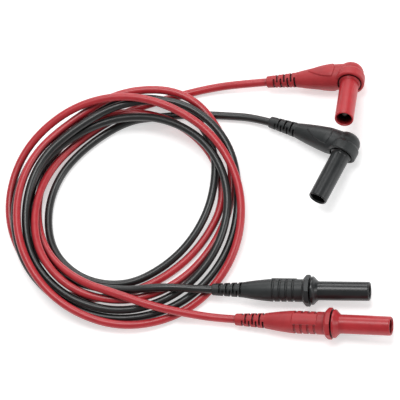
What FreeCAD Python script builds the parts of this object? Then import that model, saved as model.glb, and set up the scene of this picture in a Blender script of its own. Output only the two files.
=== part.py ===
"""A pair of safety test leads, one red and one black, wound loosely together.

Each lead is a silicone cable with a shrouded right-angle plug on one end and a
shrouded straight plug on the other. Millimetres, +Z up. The origin is on the
surface the leads lie on, under the middle of the four plugs.
"""
import FreeCAD, Part
import math
import os

Vector = FreeCAD.Vector
Rotation = FreeCAD.Rotation

# cable
CABLE_D = 3.35
INSULATION_D = 2.5
CONDUCTOR_D = 1.5
LAYER_GAP = 0.05
JACKET_IN = 9.0
INSULATION_IN = 13.0
CONDUCTOR_IN = 24.0

# bend relief boot, the same on every plug
BOOT_LEN = 13.0
BOOT_TAIL_R = 2.45
BOOT_END_R = 3.2
SLOT_WIDTH = 0.7
SLOT_FLOOR_R = 1.9
SLOT_SPAN = 124.0
FOUR_SLOTS = (3.3, 6.3, 9.3, 12.3)
THREE_SLOTS = (4.8, 7.8, 10.8)

# straight grip
GRIP_R = 4.7
GRIP_FULL_X = 25.0
COLLAR_X = 38.5
COLLAR_END = 41.5
COLLAR_ACROSS = 12.2
GROOVES = (26.0, 28.8, 31.6, 34.4)
GROOVE_WIDTH = 0.9
GROOVE_DEPTH = 0.45
PANEL_WIDTH = 4.8

# right-angle body; its barrel hangs towards -Y, across the cable, at HEAD_X
BODY_MID = (21.5, 4.7)
BODY_FULL = (28.0, 5.5)
BODY_END_R = 5.3
HEAD_X = 36.0
HEAD_R = 5.4
HEAD_TOP = 5.4
HEAD_ROUNDING = 4.0
FLANGE_R = 6.15
FLANGE_Y = 0.0
FLANGE_END = -4.8
NECK_ROOM_R = 5.0
LEAF_TIP_X = 18.5
LEAF_END_X = 28.8
LEAF_HALF_WIDTH = 3.9
PANEL_RISE = 0.3

# shroud, pin and contact spring, measured along the plug's own nose
SHROUD_R = 3.95
BORE_R = 3.1
SPIGOT_R = 3.6
STRAIGHT_SPIGOT = 5.0
ANGLE_SPIGOT = 1.7
STRAIGHT_SHOULDER = (6.0, 3.0)
ANGLE_SHOULDER = (4.6, 0.8)
STRAIGHT_SHROUD = 21.4
ANGLE_SHROUD = 21.8
PIN_R = 2.0
WAIST_R = 1.45
TIP_R = 1.9
TIP_LEN = 5.2
WAIST_LEN = 12.0
PIN_RECESS = 3.0
SPRING_LEN = 11.6
SPRING_IN_R = 1.5
SPRING_WALL = 0.2
SPRING_BOW_R = 2.15
SPRING_BAND = 1.6
SPRING_SLOT = 0.45
SPRING_SLOTS = 4
FIT = 0.05
CORE_R = 2.9

# where each plug lies: tail of its boot, heading, climb and roll in degrees
PLUGS = {
    "red_angle": ((-14.0, 57.0, 4.6), -1.9, 3.0, -25.0),
    "black_angle": ((-13.0, 39.2, 3.0), -25.0, 5.8, -7.5),
    "red_straight": ((-28.1, -48.6, 3.7), -8.0, 3.6, 90.0),
    "black_straight": ((-37.4, -35.6, 6.15), -5.0, 0.0, 0.0),
}

# the coil: every 30 degrees a spoke gives how far out the cable runs from the
# coil's centre and how far it is lifted off the surface by what it lies on
COIL_CENTRE = (-75.0, 5.7)
SPOKE_STEP = 30.0
FIRST_SPOKE = 90.0
COILS = {
    "red": (
        (44.5, 0.0), (38.5, 0.5), (38.0, 3.0), (39.0, 5.5), (42.0, 6.5), (44.0, 5.5),
        (44.0, 2.5), (43.0, 0.5), (43.0, 0.0), (46.0, 0.0), (51.0, 1.5), (56.5, 5.5),
        (51.5, 7.5), (44.5, 8.0), (46.0, 8.5), (46.5, 9.0), (48.5, 8.0), (52.0, 5.5),
        (55.5, 2.0), (56.5, 0.0), (54.5, 2.0), (51.5, 6.0), (48.0, 10.0), (45.5, 12.5),
        (47.0, 13.0), (49.0, 11.0), (52.0, 6.0), (52.0, 2.0), (49.0, 0.0), (46.5, 0.0),
        (39.5, 0.0), (37.0, 0.0), (38.0, 0.0), (42.5, 0.0), (43.5, 0.0), (43.0, 3.0),
        (43.0, 4.5), (44.5, 2.5), (41.0, 0.0), (39.0, 1.0), (39.0, 3.5), (39.0, 6.0),
    ),
    "black": (
        (40.0, 0.0), (34.5, 0.0), (34.0, 0.0), (34.5, 0.0), (36.5, 0.0), (36.5, 0.0),
        (35.5, 0.0), (33.0, 0.5), (34.0, 2.0), (38.0, 3.5), (45.5, 4.0), (51.5, 4.0),
        (50.0, 3.5), (47.0, 4.0), (47.5, 5.0), (48.5, 5.5), (50.0, 4.0), (50.5, 1.5),
        (51.5, 0.0), (52.0, 0.0), (50.5, 0.5), (49.5, 2.5), (52.0, 6.0), (51.0, 8.0),
        (45.0, 9.0), (40.0, 9.5), (42.0, 8.5), (43.0, 6.5), (46.0, 5.0), (47.5, 3.5),
        (48.5, 2.0), (47.5, 1.0), (46.5, 3.0), (46.0, 6.0), (44.0, 8.0), (41.0, 8.0),
        (39.5, 6.5), (39.5, 5.5), (42.5, 4.5), (43.0, 2.5), (43.0, 1.5), (39.5, 2.0),
    ),
}
# free points between a right-angle plug and the first spoke, and between the
# last spoke and a straight plug
LEAD_IN = {
    "red": ((-37.0, 57.7, 2.2), (-56.5, 54.5, 1.7)),
    "black": ((-33.0, 44.2, 2.0), (-47.0, 46.2, 1.7), (-60.2, 46.1, 1.7)),
}
LEAD_OUT = {
    "red": ((-76.6, -35.8, 8.7), (-62.0, -41.8, 7.7), (-48.0, -45.3, 5.6)),
    "black": ((-74.5, -33.3, 5.8), (-62.0, -33.3, 7.4), (-50.5, -34.1, 7.0)),
}
TAIL_OUT = 6.0


def plug_turn(name):
    """Rotation that lays a plug along its heading."""
    _, heading, climb, roll = PLUGS[name]
    turn = Rotation(Vector(0, 0, 1), heading)
    turn = turn.multiply(Rotation(Vector(0, 1, 0), -climb))
    return turn.multiply(Rotation(Vector(1, 0, 0), roll))


def put(shape, name):
    """Copy of a plug's piece, moved from the plug's own frame to where it lies."""
    placed = shape.copy()
    lies = FreeCAD.Placement(Vector(*PLUGS[name][0]), plug_turn(name))
    placed.Placement = lies.multiply(shape.Placement)
    return placed


def on_plug(name, x):
    """Point on a plug's axis, x mm in from the tail of its boot."""
    return Vector(*PLUGS[name][0]) + plug_turn(name).multVec(Vector(x, 0, 0))


def route(colour, reach_in):
    """Corner points of one lead, starting and ending reach_in mm inside its boots."""
    first, last = f"{colour}_angle", f"{colour}_straight"
    points = [on_plug(first, reach_in), on_plug(first, -TAIL_OUT)]
    points += [Vector(*p) for p in LEAD_IN[colour]]
    for count, (reach, lift) in enumerate(COILS[colour]):
        bearing = math.radians(FIRST_SPOKE + SPOKE_STEP * count)
        x = COIL_CENTRE[0] + reach * math.cos(bearing)
        y = COIL_CENTRE[1] + reach * math.sin(bearing)
        points.append(Vector(x, y, CABLE_D / 2 + lift))
    points += [Vector(*p) for p in LEAD_OUT[colour]]
    points += [on_plug(last, -TAIL_OUT), on_plug(last, reach_in)]
    return points


def rounded_wire(points):
    """Straight runs joined by tangent arcs, each as large as its two runs allow."""
    edges = []
    radii = []
    here = points[0]
    for before, corner, after in zip(points, points[1:], points[2:]):
        inward = (before - corner).normalize()
        outward = (after - corner).normalize()
        turn = math.pi - inward.getAngle(outward)
        trim = 0.45 * min((before - corner).Length, (after - corner).Length)
        radius = trim / math.tan(turn / 2)
        start = corner + inward * trim
        end = corner + outward * trim
        bisector = (inward + outward).normalize()
        middle = corner + bisector * (radius / math.cos(turn / 2) - radius)
        edges.append(Part.LineSegment(here, start).toShape())
        edges.append(Part.Arc(start, middle, end).toShape())
        radii.append(radius)
        here = end
    edges.append(Part.LineSegment(here, points[-1]).toShape())
    return Part.Wire(edges), radii


def sweep(path, points, diameter):
    """Round rod along a path that starts with the first run of points."""
    ring = Part.Wire(Part.makeCircle(diameter / 2, points[0], points[1] - points[0]))
    return path.makePipe(Part.Face(ring))


def tube(points, outer_d, inner_d=0.0):
    """Round tube, or rod, along the rounded route."""
    path, radii = rounded_wire(points)
    solid = sweep(path, points, outer_d)
    if inner_d:
        solid = solid.cut(sweep(path, points, inner_d))
    section = math.pi / 4 * (outer_d ** 2 - inner_d ** 2)
    print(f"  length {path.Length:.0f}, volume/section {solid.Volume / section:.0f},"
          f" valid {solid.isValid()}, tightest radius {min(radii):.1f}")
    return solid, radii


def lathe(start, *steps):
    """Solid turned about X. A step is a point (x, r), or a pair (via, end) for an arc."""
    axis_start = Vector(start[0], 0, 0)
    here = Vector(*start, 0)
    edges = []
    if start[1]:
        edges.append(Part.LineSegment(axis_start, here).toShape())
    for step in steps:
        if isinstance(step[0], tuple):
            via, end = Vector(*step[0], 0), Vector(*step[1], 0)
            edges.append(Part.Arc(here, via, end).toShape())
        else:
            end = Vector(*step, 0)
            edges.append(Part.LineSegment(here, end).toShape())
        here = end
    axis_end = Vector(here.x, 0, 0)
    if here.y:
        edges.append(Part.LineSegment(here, axis_end).toShape())
    edges.append(Part.LineSegment(axis_end, axis_start).toShape())
    return Part.Face(Part.Wire(edges)).revolve(Vector(0, 0, 0), Vector(1, 0, 0), 360)


def rod(x0, x1, radius):
    """Plain cylinder along X."""
    return Part.makeCylinder(radius, x1 - x0, Vector(x0, 0, 0), Vector(1, 0, 0))


def block(x0, x1, y0, y1, z0, z1):
    """Box from its limits."""
    return Part.makeBox(x1 - x0, y1 - y0, z1 - z0, Vector(x0, y0, z0))


def slot_wedge(centre):
    """Wedge from the plug's axis, opening to +Z by the slots' span."""
    half = math.radians(SLOT_SPAN / 2)
    start = centre - SLOT_WIDTH / 2
    points = [Vector(start, 0, 0), Vector(start, 8 * math.sin(half), 8 * math.cos(half)),
              Vector(start, -8 * math.sin(half), 8 * math.cos(half)), Vector(start, 0, 0)]
    return Part.Face(Part.makePolygon(points)).extrude(Vector(SLOT_WIDTH, 0, 0))


def boot_slots(panel_faces):
    """Staggered slots that let the boot bend. The two faces that carry the label
    panels, at this angle about X from +Z, have three each, the other two four."""
    floor = rod(0, BOOT_LEN, SLOT_FLOOR_R)
    cutters = []
    for row, faces in ((THREE_SLOTS, panel_faces), (FOUR_SLOTS, panel_faces + 90)):
        for centre in row:
            for side in (0, 180):
                cutter = slot_wedge(centre)
                cutter.rotate(Vector(0, 0, 0), Vector(1, 0, 0), faces + side)
                cutters.append(cutter.cut(floor))
    return cutters


def cable_bore():
    """Room for the cable's layers inside a plug."""
    jacket = rod(-1, JACKET_IN + FIT, CABLE_D / 2 + FIT)
    insulation = rod(0, INSULATION_IN + FIT, INSULATION_D / 2 + FIT)
    return [jacket, insulation]


def straight_grip():
    """Overmould: slotted boot, swelling grip with four grooves, octagonal collar."""
    grip = lathe((0, BOOT_TAIL_R), (BOOT_LEN, BOOT_END_R), ((19, 4.1), (GRIP_FULL_X, GRIP_R)),
                 (COLLAR_X, GRIP_R))
    for x in GROOVES:
        ring = rod(x - GROOVE_WIDTH / 2, x + GROOVE_WIDTH / 2, GRIP_R + 1)
        ring = ring.cut(rod(x - 1, x + 1, GRIP_R - GROOVE_DEPTH))
        grip = grip.cut(ring)
    panel = rod(GROOVES[0] - 1, GROOVES[-1] + 1, GRIP_R + PANEL_RISE)
    panel = panel.common(block(0, COLLAR_X, 3.0, GRIP_R + 1, -PANEL_WIDTH / 2, PANEL_WIDTH / 2))
    collar = octagon(COLLAR_X, COLLAR_END, COLLAR_ACROSS)
    chamfer = lathe((COLLAR_X, 5.3), (COLLAR_X + 1.2, 6.7), (COLLAR_END, 6.7))
    grip = grip.fuse([panel, collar.common(chamfer)]).removeSplitter()
    return grip.cut(boot_slots(90) + cable_bore() + [straight_core_envelope(FIT)])


def octagon(x0, x1, across):
    """Eight-sided prism along X with flats above and below."""
    corner = across / 2 / math.cos(math.pi / 8)
    points = []
    for k in range(9):
        angle = math.pi / 8 + k * math.pi / 4
        points.append(Vector(x0, corner * math.cos(angle), corner * math.sin(angle)))
    return Part.Face(Part.makePolygon(points)).extrude(Vector(x1 - x0, 0, 0))


def straight_core_envelope(gap):
    """Outside of everything that the straight overmould is moulded round."""
    core = rod(INSULATION_IN, COLLAR_END - STRAIGHT_SPIGOT, CORE_R + gap)
    spigot = rod(COLLAR_END - STRAIGHT_SPIGOT, COLLAR_END, SPIGOT_R + gap)
    return core.fuse(spigot)


def shroud(length, shoulder, spigot):
    """Tube with a chamfered mouth, a conical shoulder and a spigot; mouth at +X."""
    shoulder_r, shoulder_len = shoulder
    rear = -shoulder_len - spigot
    slope = ((-0.63 * shoulder_len, shoulder_r), (-0.3 * shoulder_len, (shoulder_r + SHROUD_R) / 2 - 0.2))
    body = lathe((rear, SPIGOT_R), (-shoulder_len, SPIGOT_R), (-shoulder_len, shoulder_r), *slope,
                 (0, SHROUD_R), (length - 0.3, SHROUD_R), (length, SHROUD_R - 0.3))
    bore = lathe((rear - 1, BORE_R), (length - 0.5, BORE_R), (length, BORE_R + 0.4),
                 (length + 1, BORE_R + 0.4))
    return body.cut(bore)


def pin(length, rear):
    """Plug pin: tail in the core, stem, waist for the spring and rounded tip."""
    tip_end = length - PIN_RECESS
    waist_end = tip_end - TIP_LEN
    stem_end = waist_end - WAIST_LEN
    return lathe((rear, 1.1), (rear + 4, 1.1), (rear + 4, PIN_R), (stem_end, PIN_R),
                 (stem_end, WAIST_R), (waist_end, WAIST_R), (waist_end, TIP_R),
                 (tip_end - 1.6, TIP_R), ((tip_end - 0.5, 1.5), (tip_end, 0.7)))


def contact_spring(length):
    """Cage of bowed leaves between two bands, free to turn on the pin's waist."""
    start = length - PIN_RECESS - TIP_LEN - WAIST_LEN + (WAIST_LEN - SPRING_LEN) / 2
    end = start + SPRING_LEN
    leaf0, leaf1 = start + SPRING_BAND, end - SPRING_BAND
    middle = (start + end) / 2
    outer_r = SPRING_IN_R + SPRING_WALL
    outside = lathe((start, outer_r), (leaf0, outer_r), ((middle, SPRING_BOW_R), (leaf1, outer_r)),
                    (end, outer_r))
    inside = lathe((start - 1, SPRING_IN_R), (leaf0, SPRING_IN_R),
                   ((middle, SPRING_BOW_R - SPRING_WALL), (leaf1, SPRING_IN_R)), (end + 1, SPRING_IN_R))
    cage = outside.cut(inside)
    for k in range(SPRING_SLOTS):
        slot = block(leaf0, leaf1, -SPRING_SLOT / 2, SPRING_SLOT / 2, -3, 3)
        slot.rotate(Vector(0, 0, 0), Vector(1, 0, 0), k * 180 / SPRING_SLOTS)
        cage = cage.cut(slot)
    return cage


def turn_nose(shape):
    """Move a piece from the nose frame to the right-angle plug's frame."""
    turned = shape.copy()
    turned.rotate(Vector(0, 0, 0), Vector(0, 0, 1), -90)
    turned.translate(Vector(HEAD_X, FLANGE_END - ANGLE_SHOULDER[1], 0))
    return turned


def shift_nose(shape):
    """Move a piece from the nose frame to the straight plug's frame."""
    moved = shape.copy()
    moved.translate(Vector(COLLAR_END + STRAIGHT_SHOULDER[1], 0, 0))
    return moved


def ferrule(x0, x1):
    """Crimp ferrule over the conductor, flared at the cable side."""
    sleeve = lathe((x0, 1.6), (x0 + 1, 1.35), (x1, 1.35))
    return sleeve.cut(rod(x0 - 1, x1 - 1, CONDUCTOR_D / 2 + FIT))


def straight_core():
    """Hard premould that holds the pin, the ferrule and the shroud."""
    nose = COLLAR_END + STRAIGHT_SHOULDER[1]
    core = rod(INSULATION_IN + FIT, COLLAR_END - STRAIGHT_SPIGOT, CORE_R)
    core = core.fuse(rod(COLLAR_END - STRAIGHT_SPIGOT, nose - 0.5, BORE_R - FIT))
    room = [rod(0, 18, CONDUCTOR_D / 2 + FIT), rod(17.9, 29.1, 1.65),
            rod(29, 33.1, 1.15), rod(33.0, nose + 1, PIN_R + FIT)]
    return core.removeSplitter().cut(room)


def upright(radius, y0, y1):
    """Cylinder along Y, across the right-angle plug, on the axis of its barrel."""
    return Part.makeCylinder(radius, y1 - y0, Vector(HEAD_X, y0, 0), Vector(0, 1, 0))


def angle_shell(grow):
    """Boot and body of the right-angle plug as one turned solid, grown by a margin."""
    middle = (BODY_MID[0], BODY_MID[1] + grow)
    full = (BODY_FULL[0], BODY_FULL[1] + grow)
    return lathe((0, BOOT_TAIL_R + grow), (BOOT_LEN, BOOT_END_R + grow), (middle, full),
                 (HEAD_X, BODY_END_R + grow))


def leaf_prism():
    """Prism through the body, leaf-shaped: pointed towards the boot, blunt towards the head."""
    tip = Vector(LEAF_TIP_X, 0, -7)
    upper = Vector(LEAF_END_X, LEAF_HALF_WIDTH, -7)
    lower = Vector(LEAF_END_X, -LEAF_HALF_WIDTH, -7)
    half_x = (LEAF_TIP_X + LEAF_END_X) / 2
    bulge = LEAF_HALF_WIDTH * 0.72
    edges = [Part.Arc(tip, Vector(half_x, bulge, -7), upper).toShape(),
             Part.Arc(upper, Vector(LEAF_END_X + 1.2, 0, -7), lower).toShape(),
             Part.Arc(lower, Vector(half_x, -bulge, -7), tip).toShape()]
    return Part.Face(Part.Wire(edges)).extrude(Vector(0, 0, 14))


def angle_room(gap):
    """Room for everything that the right-angle overmould is moulded round."""
    spigot_top = FLANGE_END + ANGLE_SPIGOT
    neck = rod(INSULATION_IN, HEAD_X, CORE_R + gap)
    post = upright(CORE_R + gap, spigot_top - 1, CORE_R + gap)
    spigot = upright(SPIGOT_R + gap, FLANGE_END, spigot_top + gap)
    below = upright(NECK_ROOM_R, FLANGE_END - 4, FLANGE_END)
    return neck.fuse([post, spigot, below])


def angle_body():
    """Overmould: slotted boot, body swelling into a round head, flange and blank label panels."""
    head = upright(HEAD_R, FLANGE_Y - 1, HEAD_TOP)
    head = head.makeFillet(HEAD_ROUNDING, [e for e in head.Edges if e.CenterOfMass.y > HEAD_TOP - 0.01])
    flange = upright(FLANGE_R, FLANGE_END, FLANGE_Y)
    flange = flange.makeFillet(0.8, [e for e in flange.Edges if e.Curve.TypeId == "Part::GeomCircle"])
    panel = angle_shell(PANEL_RISE).common(leaf_prism())
    whole = angle_shell(0.0).fuse([head, flange, panel]).removeSplitter()
    return whole.cut(boot_slots(0) + cable_bore() + [angle_room(FIT)])


def angle_core():
    """Hard premould in the head: holds the pin, the lug and the shroud."""
    nose_y = FLANGE_END - ANGLE_SHOULDER[1]
    neck = rod(INSULATION_IN + FIT, HEAD_X, CORE_R)
    post = upright(CORE_R, nose_y + 0.5, CORE_R)
    top_cut = block(HEAD_X - 4, HEAD_X + 4, CORE_R - 0.6, CORE_R + 1, -4, 4)
    core = neck.fuse(post).removeSplitter().cut(top_cut)
    lug_room = block(26, HEAD_X, 0.5, 1.55, -2.1, 2.1).fuse(upright(2.1, 0.5, 1.55))
    room = [rod(0, 18, CONDUCTOR_D / 2 + FIT), rod(17.9, 27.1, 1.65),
            upright(PIN_R + FIT, nose_y - 1, 0.55), upright(1.15, -1, 1.9), lug_room]
    return core.cut(room)


def angle_lug():
    """Crimp lug: barrel on the conductor, flat tongue with an eye on the pin's tail."""
    barrel = lathe((18, 1.6), (19, 1.35), (27, 1.35))
    tongue = block(26.2, HEAD_X, 0.6, 1.3, -1.3, 1.3)
    lug = barrel.fuse([tongue, upright(2.0, 0.6, 1.3)]).removeSplitter()
    return lug.cut([upright(1.1 + FIT, 0, 3), rod(17, 26, CONDUCTOR_D / 2 + FIT)])


def straight_pieces():
    """Pieces of the straight plug in its own frame."""
    nose = COLLAR_END + STRAIGHT_SHOULDER[1]
    return {
        "straight_grip": straight_grip(),
        "straight_barrel": shift_nose(shroud(STRAIGHT_SHROUD, STRAIGHT_SHOULDER, STRAIGHT_SPIGOT)),
        "straight_core": straight_core(),
        "straight_pin": shift_nose(pin(STRAIGHT_SHROUD, 29.05 - nose)),
        "straight_spring": shift_nose(contact_spring(STRAIGHT_SHROUD)),
        "straight_crimp": ferrule(18, 29),
    }


def angle_pieces():
    """Pieces of the right-angle plug in its own frame."""
    nose_y = FLANGE_END - ANGLE_SHOULDER[1]
    return {
        "angle_body": angle_body(),
        "angle_barrel": turn_nose(shroud(ANGLE_SHROUD, ANGLE_SHOULDER, ANGLE_SPIGOT)),
        "angle_core": angle_core(),
        "angle_pin": turn_nose(pin(ANGLE_SHROUD, nose_y - 1.8)),
        "angle_spring": turn_nose(contact_spring(ANGLE_SHROUD)),
        "angle_crimp": angle_lug(),
    }


def lead(colour, straight, angle):
    """All the pieces of one lead, where they lie."""
    pieces = {}
    for kind, shapes in (("straight", straight), ("angle", angle)):
        for name, shape in shapes.items():
            pieces[f"{colour}_{name}"] = put(shape, f"{colour}_{kind}")
    print(colour)
    layers = (
        ("cable_jacket", JACKET_IN, CABLE_D, INSULATION_D + 2 * LAYER_GAP),
        ("cable_insulation", INSULATION_IN, INSULATION_D, CONDUCTOR_D + 2 * LAYER_GAP),
        ("conductor", CONDUCTOR_IN, CONDUCTOR_D, 0.0),
    )
    for name, reach_in, outer_d, inner_d in layers:
        solid, radii = tube(route(colour, reach_in), outer_d, inner_d)
        pieces[f"{colour}_{name}"] = solid
        if name == "cable_jacket":
            print("  radii", " ".join(f"{radius:.0f}" for radius in radii))
    return pieces


os.makedirs("parts", exist_ok=True)
straight_shapes = straight_pieces()
angle_shapes = angle_pieces()
for lead_colour in ("red", "black"):
    for node, node_shape in lead(lead_colour, straight_shapes, angle_shapes).items():
        node_shape.exportStep(f"parts/{node}.step")
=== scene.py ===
"""Looks of a pair of safety test leads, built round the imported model.

Blender works in metres. The plugs' own sizes are in millimetres, as in the part,
and each plug is made in its own frame: X from the boot's tail to the nose.
"""
import math

import bmesh
import bpy
from mathutils import Matrix, Vector


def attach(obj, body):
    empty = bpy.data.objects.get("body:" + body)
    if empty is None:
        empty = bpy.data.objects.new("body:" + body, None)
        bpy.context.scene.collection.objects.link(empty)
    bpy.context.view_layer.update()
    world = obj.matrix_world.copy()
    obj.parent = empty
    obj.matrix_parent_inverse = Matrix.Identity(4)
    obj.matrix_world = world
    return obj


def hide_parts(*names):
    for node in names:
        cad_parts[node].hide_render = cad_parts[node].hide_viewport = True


MM = 0.001

# camera: the photograph's viewing angle, from far away with a long lens
TARGET = Vector((-0.043, 0.0057, 0.004))
ELEVATION = math.radians(65)
BEARING = math.radians(25)
DISTANCE = 1.5
VIEW_WIDTH = 0.1672

# cable and coil, as in the part
CABLE_D = 3.35
JACKET_IN = 9.0
TAIL_OUT = 6.0
COIL_CENTRE = (-75.0, 5.7)
SPOKE_STEP = 30.0
FIRST_SPOKE = 90.0
COILS = {
    "red": (
        (44.5, 0.0), (38.5, 0.5), (38.0, 3.0), (39.0, 5.5), (42.0, 6.5), (44.0, 5.5),
        (44.0, 2.5), (43.0, 0.5), (43.0, 0.0), (46.0, 0.0), (51.0, 1.5), (56.5, 5.5),
        (51.5, 7.5), (44.5, 8.0), (46.0, 8.5), (46.5, 9.0), (48.5, 8.0), (52.0, 5.5),
        (55.5, 2.0), (56.5, 0.0), (54.5, 2.0), (51.5, 6.0), (48.0, 10.0), (45.5, 12.5),
        (47.0, 13.0), (49.0, 11.0), (52.0, 6.0), (52.0, 2.0), (49.0, 0.0), (46.5, 0.0),
        (39.5, 0.0), (37.0, 0.0), (38.0, 0.0), (42.5, 0.0), (43.5, 0.0), (43.0, 3.0),
        (43.0, 4.5), (44.5, 2.5), (41.0, 0.0), (39.0, 1.0), (39.0, 3.5), (39.0, 6.0),
    ),
    "black": (
        (40.0, 0.0), (34.5, 0.0), (34.0, 0.0), (34.5, 0.0), (36.5, 0.0), (36.5, 0.0),
        (35.5, 0.0), (33.0, 0.5), (34.0, 2.0), (38.0, 3.5), (45.5, 4.0), (51.5, 4.0),
        (50.0, 3.5), (47.0, 4.0), (47.5, 5.0), (48.5, 5.5), (50.0, 4.0), (50.5, 1.5),
        (51.5, 0.0), (52.0, 0.0), (50.5, 0.5), (49.5, 2.5), (52.0, 6.0), (51.0, 8.0),
        (45.0, 9.0), (40.0, 9.5), (42.0, 8.5), (43.0, 6.5), (46.0, 5.0), (47.5, 3.5),
        (48.5, 2.0), (47.5, 1.0), (46.5, 3.0), (46.0, 6.0), (44.0, 8.0), (41.0, 8.0),
        (39.5, 6.5), (39.5, 5.5), (42.5, 4.5), (43.0, 2.5), (43.0, 1.5), (39.5, 2.0),
    ),
}
LEAD_IN = {
    "red": ((-37.0, 57.7, 2.2), (-56.5, 54.5, 1.7)),
    "black": ((-33.0, 44.2, 2.0), (-47.0, 46.2, 1.7), (-60.2, 46.1, 1.7)),
}
LEAD_OUT = {
    "red": ((-76.6, -35.8, 8.7), (-62.0, -41.8, 7.7), (-48.0, -45.3, 5.6)),
    "black": ((-74.5, -33.3, 5.8), (-62.0, -33.3, 7.4), (-50.5, -34.1, 7.0)),
}

# where each plug lies: tail of its boot, heading, climb and roll in degrees
PLUGS = {
    "red_angle": ((-14.0, 57.0, 4.6), -1.9, 3.0, -25.0),
    "black_angle": ((-13.0, 39.2, 3.0), -25.0, 5.8, -7.5),
    "red_straight": ((-28.1, -48.6, 3.7), -8.0, 3.6, 90.0),
    "black_straight": ((-37.4, -35.6, 6.15), -5.0, 0.0, 0.0),
}

# boot
BOOT_LEN = 13.0
BOOT_TAIL_R = 2.45
BOOT_END_R = 3.2
SLOT_WIDTH = 0.7
SLOT_FLOOR_R = 1.9
SLOT_SPAN = 124.0
FOUR_SLOTS = (3.3, 6.3, 9.3, 12.3)
THREE_SLOTS = (4.8, 7.8, 10.8)

# straight grip
GRIP_R = 4.7
GRIP_MID = (19.0, 4.1)
GRIP_FULL_X = 25.0
COLLAR_X = 38.5
COLLAR_END = 41.5
COLLAR_ACROSS = 12.2
COLLAR_BEVEL = ((0.0, 5.3), (1.2, 6.7))
GROOVES = (26.0, 28.8, 31.6, 34.4)
GROOVE_WIDTH = 0.9
GROOVE_DEPTH = 0.45
PANEL_WIDTH = 4.8
PANEL_RISE = 0.3

# right-angle body
BODY_MID = (21.5, 4.7)
BODY_FULL = (28.0, 5.5)
BODY_END_R = 5.3
HEAD_X = 36.0
HEAD_R = 5.4
HEAD_TOP = 5.4
HEAD_ROUNDING = 4.0
FLANGE_R = 6.15
FLANGE_END = -4.8
NECK_ROOM_R = 5.0
LEAF_TIP_X = 18.5
LEAF_END_X = 28.8
LEAF_HALF_WIDTH = 3.9

# shrouds
SHROUD_R = 3.95
BORE_R = 3.1
SPIGOT_R = 3.6
STRAIGHT_SPIGOT = 5.0
ANGLE_SPIGOT = 1.7
STRAIGHT_SHOULDER = (6.0, 3.0)
ANGLE_SHOULDER = (4.6, 0.8)
STRAIGHT_SHROUD = 21.4
ANGLE_SHROUD = 21.8
JOINT_GAP = 0.3

# how finely moulded pieces are skinned
VOXEL = 0.14
SKIN_KEPT = 0.5
SIDES = 96

# how strongly the painted shade in slots and bores darkens their colour
PAINTED_SHADE_POWER = 1.6


# ---------------------------------------------------------------- camera and cords

def add_camera():
    """Camera that looks down on the leads, with the world's +Y up in the picture."""
    back = Vector((math.cos(ELEVATION) * math.sin(BEARING),
                   -math.cos(ELEVATION) * math.cos(BEARING), math.sin(ELEVATION)))
    up = (Vector((0, 1, 0)) - back * back.y).normalized()
    right = up.cross(back)
    turn = Matrix((right, up, back)).transposed().to_4x4()
    data = bpy.data.cameras.new("camera")
    data.sensor_width = 36.0
    data.lens = data.sensor_width * DISTANCE / VIEW_WIDTH
    camera = bpy.data.objects.new("camera", data)
    camera.matrix_world = Matrix.Translation(TARGET + back * DISTANCE) @ turn
    bpy.context.collection.objects.link(camera)
    bpy.context.scene.camera = camera


def plug_matrix(name):
    """Where a plug lies: from its own frame to the row's, in metres."""
    tail, heading, climb, roll = PLUGS[name]
    turn = (Matrix.Rotation(math.radians(heading), 4, "Z")
            @ Matrix.Rotation(math.radians(-climb), 4, "Y")
            @ Matrix.Rotation(math.radians(roll), 4, "X"))
    return Matrix.Translation(Vector(tail) * MM) @ turn


def on_plug(name, x):
    """Point on a plug's axis, x mm in from the tail of its boot, in metres."""
    return plug_matrix(name) @ Vector((x * MM, 0, 0))


def cable_points(colour):
    """Control points of one lead's cable, in metres."""
    first, last = f"{colour}_angle", f"{colour}_straight"
    points = [on_plug(first, JACKET_IN), on_plug(first, -TAIL_OUT)]
    points += [Vector(p) * MM for p in LEAD_IN[colour]]
    for count, (reach, lift) in enumerate(COILS[colour]):
        bearing = math.radians(FIRST_SPOKE + SPOKE_STEP * count)
        x = COIL_CENTRE[0] + reach * math.cos(bearing)
        y = COIL_CENTRE[1] + reach * math.sin(bearing)
        points.append(Vector((x, y, CABLE_D / 2 + lift)) * MM)
    points += [Vector(p) * MM for p in LEAD_OUT[colour]]
    points += [on_plug(last, -TAIL_OUT), on_plug(last, JACKET_IN)]
    return points


def add_cable(colour, material):
    """One lead's cable, from inside one boot to inside the other."""
    data = bpy.data.curves.new(f"{colour}_lead_cable", "CURVE")
    data.dimensions = "3D"
    points = cable_points(colour)
    spline = data.splines.new("NURBS")
    spline.points.add(len(points) - 1)
    for knot, point in zip(spline.points, points):
        knot.co = (*point, 1.0)
    spline.order_u = 3
    spline.use_endpoint_u = True
    spline.resolution_u = 10
    data.bevel_depth = CABLE_D / 2 * MM
    data.bevel_resolution = 7
    data.use_fill_caps = True
    data.materials.append(material)
    cable = bpy.data.objects.new(data.name, data)
    bpy.context.collection.objects.link(cable)
    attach(cable, "root")
    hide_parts(f"{colour}_cable_jacket", f"{colour}_cable_insulation", f"{colour}_conductor")


# ---------------------------------------------------------------- mesh tools

def mesh_object(name, bm):
    """Object from a bmesh, which is freed."""
    bmesh.ops.recalc_face_normals(bm, faces=bm.faces)
    data = bpy.data.meshes.new(name)
    bm.to_mesh(data)
    bm.free()
    made = bpy.data.objects.new(name, data)
    bpy.context.collection.objects.link(made)
    return made


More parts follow.
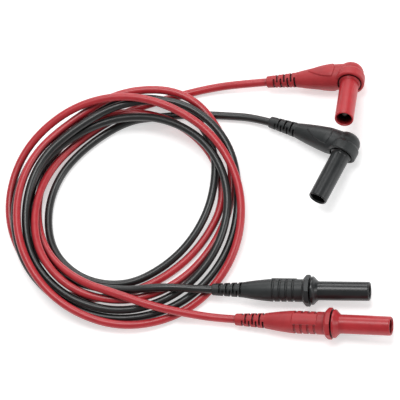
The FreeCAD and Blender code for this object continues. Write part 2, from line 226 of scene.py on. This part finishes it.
def turned(name, profile, hollow=False, sides=SIDES):
    """Solid turned about X from points (x, r); hollow closes the outline on itself instead."""
    bm = bmesh.new()
    rings = []
    for x, r in profile:
        rings.append([bm.verts.new((x, r * math.cos(math.tau * k / sides),
                                    r * math.sin(math.tau * k / sides))) for k in range(sides)])
    pairs = list(zip(rings, rings[1:]))
    if hollow:
        pairs.append((rings[-1], rings[0]))
    else:
        bm.faces.new(rings[0])
        bm.faces.new(rings[-1])
    for near, far in pairs:
        for k in range(sides):
            following = (k + 1) % sides
            bm.faces.new((near[k], near[following], far[following], far[k]))
    return mesh_object(name, bm)


def prism(name, outline, low, high, axis):
    """Prism whose outline, a list of pairs, is drawn across an axis, 0 for X or 2 for Z."""
    bm = bmesh.new()
    ends = []
    for level in (low, high):
        corners = [(level, a, b) if axis == 0 else (a, b, level) for a, b in outline]
        ends.append([bm.verts.new(corner) for corner in corners])
        bm.faces.new(ends[-1])
    count = len(outline)
    for k in range(count):
        following = (k + 1) % count
        bm.faces.new((ends[0][k], ends[0][following], ends[1][following], ends[1][k]))
    return mesh_object(name, bm)


def box(name, x0, x1, y0, y1, z0, z1):
    """Box from its limits."""
    return prism(name, [(y0, z0), (y1, z0), (y1, z1), (y0, z1)], x0, x1, 0)


def arc(start, via, end, steps=10):
    """Points on the circle through three points, from start to end."""
    (ax, ay), (bx, by), (cx, cy) = start, via, end
    d = 2 * (ax * (by - cy) + bx * (cy - ay) + cx * (ay - by))
    a2, b2, c2 = ax * ax + ay * ay, bx * bx + by * by, cx * cx + cy * cy
    ux = (a2 * (by - cy) + b2 * (cy - ay) + c2 * (ay - by)) / d
    uy = (a2 * (cx - bx) + b2 * (ax - cx) + c2 * (bx - ax)) / d
    first = math.atan2(ay - uy, ax - ux)
    sweep = math.remainder(math.atan2(cy - uy, cx - ux) - first, math.tau)
    radius = math.hypot(ax - ux, ay - uy)
    return [(ux + radius * math.cos(first + sweep * k / steps),
             uy + radius * math.sin(first + sweep * k / steps)) for k in range(steps + 1)]


def softened(profile, size):
    """Profile with each inner corner replaced by a small curve."""
    points = [profile[0]]
    for before, corner, after in zip(profile, profile[1:], profile[2:]):
        ends = []
        for other in (before, after):
            length = math.dist(corner, other)
            share = min(size, 0.45 * length) / length
            ends.append([c + (o - c) * share for c, o in zip(corner, other)])
        for k in range(5):
            t = k / 4
            points.append(tuple((1 - t) ** 2 * a + 2 * t * (1 - t) * c + t * t * b
                                for a, c, b in zip(ends[0], corner, ends[1])))
    points.append(profile[-1])
    return points


def bake_modifiers(made):
    """Replace an object's mesh with the one its modifiers give."""
    result = bpy.data.meshes.new_from_object(
        made.evaluated_get(bpy.context.evaluated_depsgraph_get()))
    made.modifiers.clear()
    made.data = result


def combine(base, operation, tools):
    """Join, cut or keep what is common with each tool, which is used up."""
    for tool in tools:
        modifier = base.modifiers.new("shape", "BOOLEAN")
        modifier.operation = operation
        modifier.solver = "MANIFOLD"
        modifier.object = tool
        bake_modifiers(base)
        bpy.data.objects.remove(tool)
    return base


def skin_moulding(made):
    """Even skin whose edges are as soft as a moulding's."""
    skin = made.modifiers.new("skin", "REMESH")
    skin.mode = "VOXEL"
    skin.voxel_size = VOXEL
    smooth = made.modifiers.new("smooth", "SMOOTH")
    smooth.factor = 0.5
    smooth.iterations = 4
    thin = made.modifiers.new("thin", "DECIMATE")
    thin.ratio = SKIN_KEPT
    bake_modifiers(made)
    return made


def place(made, name, lies, material, slot, *nodes):
    """Copy of a piece made in millimetres, in metres and laid where its plug lies."""
    data = made.data.copy()
    data.transform(lies @ Matrix.Scale(MM, 4))
    data.shade_smooth()
    data.materials.clear()
    data.materials.append(material)
    data.name = name
    piece = bpy.data.objects.new(name, data)
    bpy.context.collection.objects.link(piece)
    bpy.context.view_layer.update()
    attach(piece, "root")
    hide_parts(*nodes)
    return piece


# ---------------------------------------------------------------- plug pieces

def boot_slots(panel_faces):
    """Staggered slots, each round part of the boot: three on the panel's faces, four between."""
    half = math.radians(SLOT_SPAN / 2)
    sector = []
    for reach, steps in ((SLOT_FLOOR_R, range(-12, 13)), (BOOT_END_R + 1, range(12, -13, -1))):
        for k in steps:
            angle = math.pi / 2 + half * k / 12
            sector.append((reach * math.cos(angle), reach * math.sin(angle)))
    cutters = []
    for row, faces in ((THREE_SLOTS, panel_faces), (FOUR_SLOTS, panel_faces + 90)):
        for centre in row:
            for side in (0, 180):
                cutter = prism("slot", sector, centre - SLOT_WIDTH / 2, centre + SLOT_WIDTH / 2, 0)
                cutter.data.transform(Matrix.Rotation(math.radians(faces + side), 4, "X"))
                cutters.append(cutter)
    return cutters


def boot_profile(grow=0.0):
    """Outline of the boot, from its rounded tail to where the body swells."""
    tail = BOOT_TAIL_R + grow
    return [(0, CABLE_D / 2), (0, tail - 0.3), (0.1, tail - 0.1), (0.35, tail),
            (BOOT_LEN, BOOT_END_R + grow)]


def make_straight_grip():
    """Overmould: slotted boot, swelling grip with four grooves, octagonal collar."""
    swell = arc((BOOT_LEN, BOOT_END_R), GRIP_MID, (GRIP_FULL_X, GRIP_R))
    profile = boot_profile() + swell[1:]
    for x in GROOVES:
        near, far = x - GROOVE_WIDTH / 2, x + GROOVE_WIDTH / 2
        floor = GRIP_R - GROOVE_DEPTH
        profile += [(near, GRIP_R), (near, floor), (far, floor), (far, GRIP_R)]
    profile += [(COLLAR_X + 1, GRIP_R)]
    grip = turned("straight_grip", profile)

    panel_r = GRIP_R + PANEL_RISE
    panel = turned("panel", [(GROOVES[0] - 1, panel_r), (GROOVES[-1] + 1, panel_r)])
    half = PANEL_WIDTH / 2
    combine(panel, "INTERSECT", [box("window", 0, COLLAR_X, 3, GRIP_R + 1, -half, half)])

    corner_r = COLLAR_ACROSS / 2 / math.cos(math.pi / 8)
    corners = [(corner_r * math.cos(math.pi / 8 + k * math.pi / 4),
                corner_r * math.sin(math.pi / 8 + k * math.pi / 4)) for k in range(8)]
    collar = prism("collar", corners, COLLAR_X, COLLAR_END - JOINT_GAP, 0)
    bevel = [(COLLAR_X + x, r) for x, r in COLLAR_BEVEL] + [(COLLAR_END, COLLAR_BEVEL[-1][1])]
    combine(collar, "INTERSECT", [turned("bevel", bevel)])
    combine(grip, "UNION", [panel, collar])
    combine(grip, "DIFFERENCE", boot_slots(90))
    return skin_moulding(grip)


def nose_to_head(made, y):
    """Turn a piece made along X to hang across the right-angle plug from height y."""
    made.data.transform(Matrix.Translation((HEAD_X, y, 0)) @ Matrix.Rotation(math.radians(-90), 4, "Z"))
    return made


def make_angle_body():
    """Overmould: slotted boot, body swelling into a round head, flange, blank label panels."""
    def shell(name, grow):
        full = (BODY_FULL[0], BODY_FULL[1] + grow)
        swell = arc((BOOT_LEN, BOOT_END_R + grow), (BODY_MID[0], BODY_MID[1] + grow), full, 16)
        return turned(name, boot_profile(grow) + swell[1:] + [(HEAD_X, BODY_END_R + grow)])

    body = shell("angle_body", 0.0)
    crown = arc((-HEAD_TOP, HEAD_R - HEAD_ROUNDING),
                (-HEAD_TOP + 0.293 * HEAD_ROUNDING, HEAD_R - 0.293 * HEAD_ROUNDING),
                (-HEAD_TOP + HEAD_ROUNDING, HEAD_R), 12)
    head = nose_to_head(turned("head", crown + [(1, HEAD_R)]), 0)
    rim = [(-0.3, HEAD_R - 0.3), (0.1, FLANGE_R - 0.35), (0.8, FLANGE_R), (-FLANGE_END - 0.5, FLANGE_R),
           (-FLANGE_END - 0.1, FLANGE_R - 0.2), (-FLANGE_END, FLANGE_R - 0.6)]
    flange = nose_to_head(turned("flange", rim), 0)

    half_x = (LEAF_TIP_X + LEAF_END_X) / 2
    bulge = LEAF_HALF_WIDTH * 0.72
    upper = arc((LEAF_TIP_X, 0), (half_x, bulge), (LEAF_END_X, LEAF_HALF_WIDTH), 12)
    blunt = arc((LEAF_END_X, LEAF_HALF_WIDTH), (LEAF_END_X + 1.2, 0), (LEAF_END_X, -LEAF_HALF_WIDTH), 8)
    lower = [(x, -y) for x, y in reversed(upper)]
    leaf = prism("leaf", upper + blunt[1:-1] + lower[:-1], -7, 7, 2)
    panel = combine(shell("panel", PANEL_RISE), "INTERSECT", [leaf])

    combine(body, "UNION", [head, flange, panel])
    below = nose_to_head(turned("below", [(0, NECK_ROOM_R), (4, NECK_ROOM_R)]), FLANGE_END + 0.5)
    combine(body, "DIFFERENCE", boot_slots(0) + [below])
    return skin_moulding(body)


def make_shroud(name, length, shoulder, spigot, joint):
    """Tube with a rounded mouth and a shoulder, open down to the pin's core; mouth at +X."""
    shoulder_r, shoulder_len = shoulder
    rear = -shoulder_len - spigot
    ring = -shoulder_len + joint
    waist = (shoulder_r + SHROUD_R) / 2 - 0.2
    outside = [(rear, SPIGOT_R), (ring, SPIGOT_R), (ring, shoulder_r - 0.1),
               (-0.63 * shoulder_len, shoulder_r - 0.1), (-0.3 * shoulder_len, waist), (0.1, SHROUD_R),
               (length - 0.35, SHROUD_R), (length, SHROUD_R - 0.3)]
    inside = [(length, BORE_R + 0.45), (length - 0.6, BORE_R), (rear, BORE_R)]
    return turned(name, softened(outside, 0.22) + softened(inside, 0.3), hollow=True)


# ---------------------------------------------------------------- materials

def moulded(name, colour, deep, roughness, grain, depth, hollow, coat=0.0):
    """Plastic or rubber: a faint drift of colour and gloss, and a fine moulded grain.
    Painted shade: slots and bores up to about hollow mm across have their colour darkened, as by the shade
    that falls in them."""
    material = bpy.data.materials.new(name)
    material.use_nodes = True
    nodes, links = material.node_tree.nodes, material.node_tree.links
    shader = nodes["Principled BSDF"]
    shader.inputs["Coat Weight"].default_value = coat
    shader.inputs["Coat Roughness"].default_value = 0.3
    place_on = nodes.new("ShaderNodeTexCoord")

    drift = nodes.new("ShaderNodeTexNoise")
    drift.inputs["Scale"].default_value = 260
    drift.inputs["Detail"].default_value = 5
    links.new(place_on.outputs["Object"], drift.inputs["Vector"])
    tint = nodes.new("ShaderNodeMix")
    tint.data_type = "RGBA"
    tint.inputs[6].default_value = (*deep, 1)
    tint.inputs[7].default_value = (*colour, 1)
    spread = nodes.new("ShaderNodeMapRange")
    spread.inputs["From Min"].default_value = 0.3
    spread.inputs["From Max"].default_value = 0.6
    links.new(drift.outputs["Fac"], spread.inputs["Value"])
    links.new(spread.outputs["Result"], tint.inputs["Factor"])

    # painted shade: ambient occlusion within hollow mm darkens the base colour in slots, bores and tight
    # corners
    painted_shade_ao = nodes.new("ShaderNodeAmbientOcclusion")
    painted_shade_ao.samples = 8
    painted_shade_ao.inputs["Distance"].default_value = hollow * MM
    painted_shade_strength = nodes.new("ShaderNodeMath")
    painted_shade_strength.operation = "POWER"
    painted_shade_strength.inputs[1].default_value = PAINTED_SHADE_POWER
    links.new(painted_shade_ao.outputs["AO"], painted_shade_strength.inputs[0])
    shade = nodes.new("ShaderNodeMix")
    shade.data_type = "RGBA"
    shade.blend_type = "MULTIPLY"
    shade.inputs["Factor"].default_value = 1.0
    links.new(tint.outputs[2], shade.inputs[6])
    links.new(painted_shade_strength.outputs["Value"], shade.inputs[7])
    links.new(shade.outputs[2], shader.inputs["Base Color"])

    gloss = nodes.new("ShaderNodeMapRange")
    gloss.inputs["To Min"].default_value = roughness - 0.07
    gloss.inputs["To Max"].default_value = roughness + 0.07
    links.new(drift.outputs["Fac"], gloss.inputs["Value"])
    links.new(gloss.outputs["Result"], shader.inputs["Roughness"])

    fine = nodes.new("ShaderNodeTexNoise")
    fine.inputs["Scale"].default_value = grain
    fine.inputs["Detail"].default_value = 3
    links.new(place_on.outputs["Object"], fine.inputs["Vector"])
    bump = nodes.new("ShaderNodeBump")
    bump.inputs["Strength"].default_value = 0.5
    bump.inputs["Distance"].default_value = depth
    links.new(fine.outputs["Fac"], bump.inputs["Height"])
    links.new(bump.outputs["Normal"], shader.inputs["Normal"])
    return material


def metal(name, colour, roughness):
    """Plated metal with fine turning marks in its gloss."""
    # the 6 is how far, in mm, painted shade reaches into bores and recesses on the metal
    material = moulded(name, colour, [c * 0.85 for c in colour], roughness, 4000, 0.00001, 6)
    material.node_tree.nodes["Principled BSDF"].inputs["Metallic"].default_value = 1.0
    return material


# ---------------------------------------------------------------- studio

def add_floor():
    """Plain pale floor, wide enough for every view."""
    bm = bmesh.new()
    bmesh.ops.create_grid(bm, x_segments=1, y_segments=1, size=6)
    floor = mesh_object("floor", bm)
    floor.location.z = -0.0001
    material = bpy.data.materials.new("floor")
    material.use_nodes = True
    shader = material.node_tree.nodes["Principled BSDF"]
    shader.inputs["Base Color"].default_value = (0.8, 0.8, 0.8, 1)
    shader.inputs["Emission Color"].default_value = (1, 1, 1, 1)
    shader.inputs["Emission Strength"].default_value = 0.5
    shader.inputs["Roughness"].default_value = 0.9
    shader.inputs["Specular IOR Level"].default_value = 0.1
    floor.data.materials.append(material)


def add_light(name, place_at, size, watts):
    """Soft square light aimed at the leads, itself out of sight."""
    data = bpy.data.lights.new(name, "AREA")
    data.shape = "RECTANGLE"
    data.size, data.size_y = size
    data.energy = watts
    light = bpy.data.objects.new(name, data)
    light.location = place_at
    light.rotation_euler = (Vector(place_at) - TARGET).to_track_quat("Z", "Y").to_euler()
    light.visible_camera = False
    bpy.context.collection.objects.link(light)


def add_studio():
    """White surroundings, a broad light overhead, one beyond the leads and a strip at the right."""
    world = bpy.data.worlds.new("studio")
    world.use_nodes = True
    world.node_tree.nodes["Background"].inputs["Color"].default_value = (1, 1, 1, 1)
    world.node_tree.nodes["Background"].inputs["Strength"].default_value = 0.34
    bpy.context.scene.world = world
    bpy.context.scene.view_settings.view_transform = "Standard"
    add_floor()
    add_light("key_light", (-0.1, 0.35, 1.8), (1.0, 0.6), 15)
    add_light("back_light", (-0.1, 1.4, 0.9), (1.4, 0.5), 10)
    add_light("side_light", (1.5, -0.3, 0.8), (0.4, 1.0), 6)


# ---------------------------------------------------------------- build

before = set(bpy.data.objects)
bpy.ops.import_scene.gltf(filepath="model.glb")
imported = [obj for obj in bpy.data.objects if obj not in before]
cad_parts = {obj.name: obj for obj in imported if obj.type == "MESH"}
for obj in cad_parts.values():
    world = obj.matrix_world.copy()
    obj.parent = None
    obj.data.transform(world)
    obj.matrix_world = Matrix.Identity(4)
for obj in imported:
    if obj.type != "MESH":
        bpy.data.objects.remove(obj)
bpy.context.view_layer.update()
add_camera()

# in each material below, the figure after the bump depth is how far, in mm, its painted shade reaches into
# slots and bores
CABLE = {
    "red": moulded("red_silicone", (0.52, 0.026, 0.036), (0.45, 0.020, 0.030), 0.36, 3000,
                   0.00002, 2, 0.2),
    "black": moulded("black_silicone", (0.016, 0.017, 0.017), (0.011, 0.012, 0.012), 0.34, 3000,
                     0.00002, 2, 0.2),
}
GRIP = {
    "red": moulded("red_rubber", (0.47, 0.028, 0.034), (0.40, 0.022, 0.028), 0.48, 4500, 0.00004, 1.6),
    "black": moulded("black_rubber", (0.023, 0.026, 0.027), (0.016, 0.019, 0.019), 0.46, 4500, 0.00004, 1.6),
}
SHROUD = {
    "red": moulded("red_nylon", (0.50, 0.024, 0.032), (0.43, 0.019, 0.026), 0.34, 2500, 0.00002, 6),
    "black": moulded("black_nylon", (0.018, 0.020, 0.021), (0.012, 0.014, 0.015), 0.30, 2500, 0.00002, 6),
}
CORE = {
    "red": moulded("red_core", (0.30, 0.02, 0.03), (0.25, 0.016, 0.025), 0.5, 2500, 0.00002, 6),
    "black": moulded("black_core", (0.02, 0.022, 0.022), (0.015, 0.017, 0.017), 0.5, 2500, 0.00002, 6),
}
NICKEL = metal("nickel_plate", (0.36, 0.34, 0.31), 0.4)
SPRING = metal("spring_bronze", (0.42, 0.33, 0.2), 0.42)
CRIMP = metal("tinned_crimp", (0.55, 0.55, 0.55), 0.4)

for colour in ("red", "black"):
    add_cable(colour, CABLE[colour])

straight_grip = make_straight_grip()
angle_body = make_angle_body()
straight_shroud = make_shroud("straight_shroud", STRAIGHT_SHROUD, STRAIGHT_SHOULDER, STRAIGHT_SPIGOT,
                              JOINT_GAP)
straight_shroud.data.transform(Matrix.Translation((COLLAR_END + STRAIGHT_SHOULDER[1], 0, 0)))
angle_shroud = make_shroud("angle_shroud", ANGLE_SHROUD, ANGLE_SHOULDER, ANGLE_SPIGOT, 0.0)
nose_to_head(angle_shroud, FLANGE_END - ANGLE_SHOULDER[1])

for colour in ("red", "black"):
    for kind, overmould, node, shroud in (("straight", straight_grip, "grip", straight_shroud),
                                          ("angle", angle_body, "body", angle_shroud)):
        plug = f"{colour}_{kind}"
        lies = plug_matrix(plug)
        place(overmould, f"{plug}_overmould", lies, GRIP[colour], f"{colour}_grip", f"{plug}_{node}")
        place(shroud, f"{plug}_shroud", lies, SHROUD[colour], f"{colour}_shroud", f"{plug}_barrel")
        for piece, material in (("core", CORE[colour]), ("pin", NICKEL), ("spring", SPRING),
                                ("crimp", CRIMP)):
            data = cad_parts[f"{plug}_{piece}"].data
            data.materials.clear()
            data.materials.append(material)
for pattern in (straight_grip, angle_body, straight_shroud, angle_shroud):
    bpy.data.objects.remove(pattern)

add_studio()
